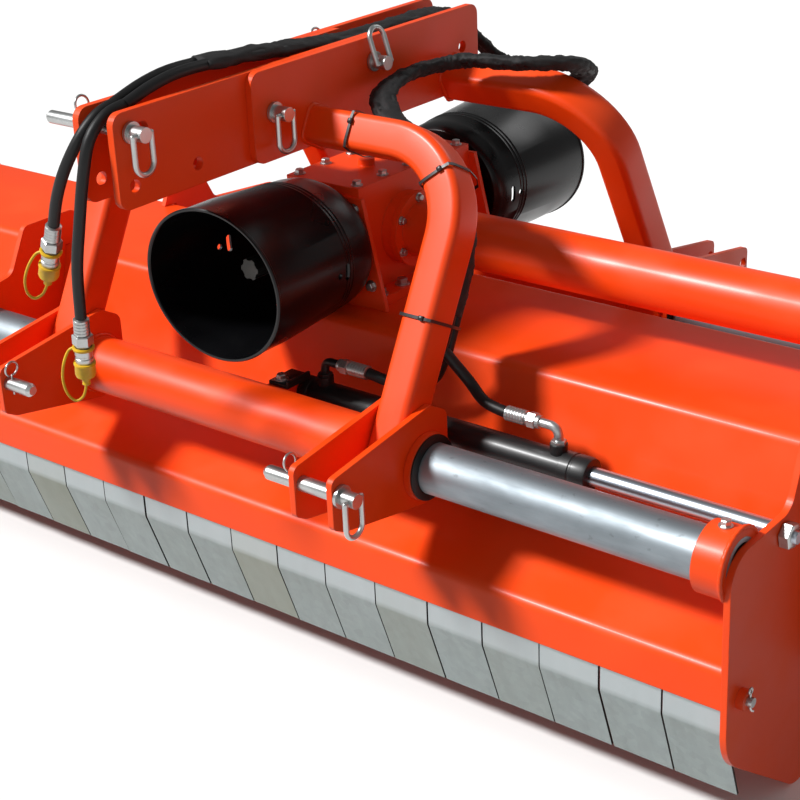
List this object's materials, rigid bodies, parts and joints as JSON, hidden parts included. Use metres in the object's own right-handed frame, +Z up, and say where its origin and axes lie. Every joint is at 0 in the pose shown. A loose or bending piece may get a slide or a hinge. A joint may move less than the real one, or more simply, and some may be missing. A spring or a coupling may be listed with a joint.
{
  "type": "flail mower",
  "caption": "Side-shift flail mower for a tractor: hooded rotor deck with hanging front flaps, rear roller and a two-ended three-point hitch frame sliding on tubes.",
  "frame": {"origin": "on the ground under the middle of the machine's box, the hanging hoses left out", "axes": "+X across the machine to the belt drive side, +Y to the rear, +Z up"},
  "size_m": [2.156, 1.2295, 0.9959],
  "materials": {
    "orange_paint": "gloss",
    "zinc": "satin",
    "galvanised": "satin",
    "black_plastic": "gloss",
    "rubber": "matte",
    "chrome": "polished",
    "black_paint": "gloss",
    "yellow_plastic": "satin",
    "forged_steel": "satin",
    "cast_iron": "matte"
  },
  "bodies": {
    "deck": {"hood": "orange_paint", "left_end_plate": "orange_paint", "right_end_plate": "orange_paint", "tube_support_plates": "orange_paint", "shift_tubes": "zinc", "flap_rod": "zinc", "gearbox_case": "orange_paint", "pto_cones": "black_plastic", "drive_tube": "orange_paint", "belt_cover": "orange_paint", "drive_belts": "rubber", "shaft_bearings": "orange_paint", "roller_brackets": "orange_paint", "cylinder_rod": "chrome"},
    "hitch": {"front_carriage": "orange_paint", "rear_carriage": "orange_paint", "front_arches": "orange_paint", "rear_arches": "orange_paint", "mast_plates": "orange_paint", "top_link_bracket": "orange_paint", "lower_pins": "zinc", "top_pins": "zinc", "cylinder_barrel": "black_paint", "hose_fittings": "zinc", "hoses": "rubber", "left_hose_tail": "rubber", "right_hose_tail": "rubber", "hose_couplers": "zinc", "dust_caps": "yellow_plastic"},
    "rotor": {"rotor": "black_paint", "flails": "forged_steel", "rotor_pulley": "cast_iron"},
    "cross_shaft": {"drive_shaft": "forged_steel"},
    "input_shaft": {"input_shaft": "forged_steel"},
    "roller": {"rear_roller": "black_paint"},
    "lower_loop_left": {"lower_loop_left": "zinc"},
    "lower_loop_right": {"lower_loop_right": "zinc"},
    "top_loop_front": {"top_loop_front": "zinc"},
    "top_loop_mid": {"top_loop_mid": "zinc"},
    "top_loop_rear": {"top_loop_rear": "zinc"},
    "flap_01": {"flap_01": "galvanised"},
    "flap_02": {"flap_02": "galvanised"},
    "flap_03": {"flap_03": "galvanised"},
    "flap_04": {"flap_04": "galvanised"},
    "flap_05": {"flap_05": "galvanised"},
    "flap_06": {"flap_06": "galvanised"},
    "flap_07": {"flap_07": "galvanised"},
    "flap_08": {"flap_08": "galvanised"},
    "flap_09": {"flap_09": "galvanised"},
    "flap_10": {"flap_10": "galvanised"},
    "flap_11": {"flap_11": "galvanised"},
    "flap_12": {"flap_12": "galvanised"},
    "flap_13": {"flap_13": "galvanised"},
    "flap_14": {"flap_14": "galvanised"},
    "flap_15": {"flap_15": "galvanised"},
    "flap_16": {"flap_16": "galvanised"},
    "flap_17": {"flap_17": "galvanised"},
    "flap_18": {"flap_18": "galvanised"},
    "flap_19": {"flap_19": "galvanised"},
    "flap_20": {"flap_20": "galvanised"}
  },
  "joints": [
    {"name": "side_shift", "type": "slide", "parent": "deck", "child": "hitch", "axis": [1, 0, 0], "range_m": [-0.17, 0.17]},
    {"name": "rotor_spin", "type": "hinge", "parent": "deck", "child": "rotor", "pos_m": [0.092, -0.055, 0.245], "axis": [1, 0, 0], "continuous": true},
    {"name": "cross_shaft_spin", "type": "hinge", "parent": "deck", "child": "cross_shaft", "pos_m": [0.092, -0.021, 0.652], "axis": [1, 0, 0], "continuous": true},
    {"name": "input_shaft_spin", "type": "hinge", "parent": "deck", "child": "input_shaft", "pos_m": [0.092, -0.021, 0.652], "axis": [0, 1, 0], "continuous": true},
    {"name": "roller_spin", "type": "hinge", "parent": "deck", "child": "roller", "pos_m": [0.092, 0.321, 0.065], "axis": [1, 0, 0], "continuous": true},
    {"name": "lower_loop_left_swing", "type": "hinge", "parent": "hitch", "child": "lower_loop_left", "pos_m": [-0.3115, -0.563, 0.48], "axis": [0, 1, 0], "range_deg": [-10, 80]},
    {"name": "lower_loop_right_swing", "type": "hinge", "parent": "hitch", "child": "lower_loop_right", "pos_m": [0.4955, -0.563, 0.48], "axis": [0, -1, 0], "range_deg": [-10, 80]},
    {"name": "top_loop_front_swing", "type": "hinge", "parent": "hitch", "child": "top_loop_front", "pos_m": [0.1553, -0.563, 0.937], "axis": [0, -1, 0], "range_deg": [-10, 80]},
    {"name": "top_loop_mid_swing", "type": "hinge", "parent": "hitch", "child": "top_loop_mid", "pos_m": [0.1673, -0.289, 0.902], "axis": [0, -1, 0], "range_deg": [-10, 80]},
    {"name": "top_loop_rear_swing", "type": "hinge", "parent": "hitch", "child": "top_loop_rear", "pos_m": [0.1673, -0.055, 0.928], "axis": [0, 1, 0], "range_deg": [0, 105]},
    {"name": "flap_01_swing", "type": "hinge", "parent": "deck", "child": "flap_01", "pos_m": [0.928, -0.3787, 0.252], "axis": [1, 0, 0], "range_deg": [0, 35]},
    {"name": "flap_02_swing", "type": "hinge", "parent": "deck", "child": "flap_02", "pos_m": [0.828, -0.3787, 0.252], "axis": [1, 0, 0], "range_deg": [0, 35]},
    {"name": "flap_03_swing", "type": "hinge", "parent": "deck", "child": "flap_03", "pos_m": [0.728, -0.3787, 0.252], "axis": [1, 0, 0], "range_deg": [0, 35]},
    {"name": "flap_04_swing", "type": "hinge", "parent": "deck", "child": "flap_04", "pos_m": [0.628, -0.3787, 0.252], "axis": [1, 0, 0], "range_deg": [0, 35]},
    {"name": "flap_05_swing", "type": "hinge", "parent": "deck", "child": "flap_05", "pos_m": [0.528, -0.3787, 0.252], "axis": [1, 0, 0], "range_deg": [0, 35]},
    {"name": "flap_06_swing", "type": "hinge", "parent": "deck", "child": "flap_06", "pos_m": [0.428, -0.3787, 0.252], "axis": [1, 0, 0], "range_deg": [0, 35]},
    {"name": "flap_07_swing", "type": "hinge", "parent": "deck", "child": "flap_07", "pos_m": [0.328, -0.3787, 0.252], "axis": [1, 0, 0], "range_deg": [0, 35]},
    {"name": "flap_08_swing", "type": "hinge", "parent": "deck", "child": "flap_08", "pos_m": [0.228, -0.3787, 0.252], "axis": [1, 0, 0], "range_deg": [0, 35]},
    {"name": "flap_09_swing", "type": "hinge", "parent": "deck", "child": "flap_09", "pos_m": [0.128, -0.3787, 0.252], "axis": [1, 0, 0], "range_deg": [0, 35]},
    {"name": "flap_10_swing", "type": "hinge", "parent": "deck", "child": "flap_10", "pos_m": [0.028, -0.3787, 0.252], "axis": [1, 0, 0], "range_deg": [0, 35]},
    {"name": "flap_11_swing", "type": "hinge", "parent": "deck", "child": "flap_11", "pos_m": [-0.072, -0.3787, 0.252], "axis": [1, 0, 0], "range_deg": [0, 35]},
    {"name": "flap_12_swing", "type": "hinge", "parent": "deck", "child": "flap_12", "pos_m": [-0.172, -0.3787, 0.252], "axis": [1, 0, 0], "range_deg": [0, 35]},
    {"name": "flap_13_swing", "type": "hinge", "parent": "deck", "child": "flap_13", "pos_m": [-0.272, -0.3787, 0.252], "axis": [1, 0, 0], "range_deg": [0, 35]},
    {"name": "flap_14_swing", "type": "hinge", "parent": "deck", "child": "flap_14", "pos_m": [-0.372, -0.3787, 0.252], "axis": [1, 0, 0], "range_deg": [0, 35]},
    {"name": "flap_15_swing", "type": "hinge", "parent": "deck", "child": "flap_15", "pos_m": [-0.472, -0.3787, 0.252], "axis": [1, 0, 0], "range_deg": [0, 35]},
    {"name": "flap_16_swing", "type": "hinge", "parent": "deck", "child": "flap_16", "pos_m": [-0.572, -0.3787, 0.252], "axis": [1, 0, 0], "range_deg": [0, 35]},
    {"name": "flap_17_swing", "type": "hinge", "parent": "deck", "child": "flap_17", "pos_m": [-0.672, -0.3787, 0.252], "axis": [1, 0, 0], "range_deg": [0, 35]},
    {"name": "flap_18_swing", "type": "hinge", "parent": "deck", "child": "flap_18", "pos_m": [-0.772, -0.3787, 0.252], "axis": [1, 0, 0], "range_deg": [0, 35]},
    {"name": "flap_19_swing", "type": "hinge", "parent": "deck", "child": "flap_19", "pos_m": [-0.872, -0.3787, 0.252], "axis": [1, 0, 0], "range_deg": [0, 35]},
    {"name": "flap_20_swing", "type": "hinge", "parent": "deck", "child": "flap_20", "pos_m": [-0.972, -0.3787, 0.252], "axis": [1, 0, 0], "range_deg": [0, 35]}
  ],
  "couplings": [
    {"joint": "cross_shaft_spin", "follows": "rotor_spin", "ratio": 0.7619},
    {"joint": "input_shaft_spin", "follows": "rotor_spin", "ratio": -0.25397}
  ]
}
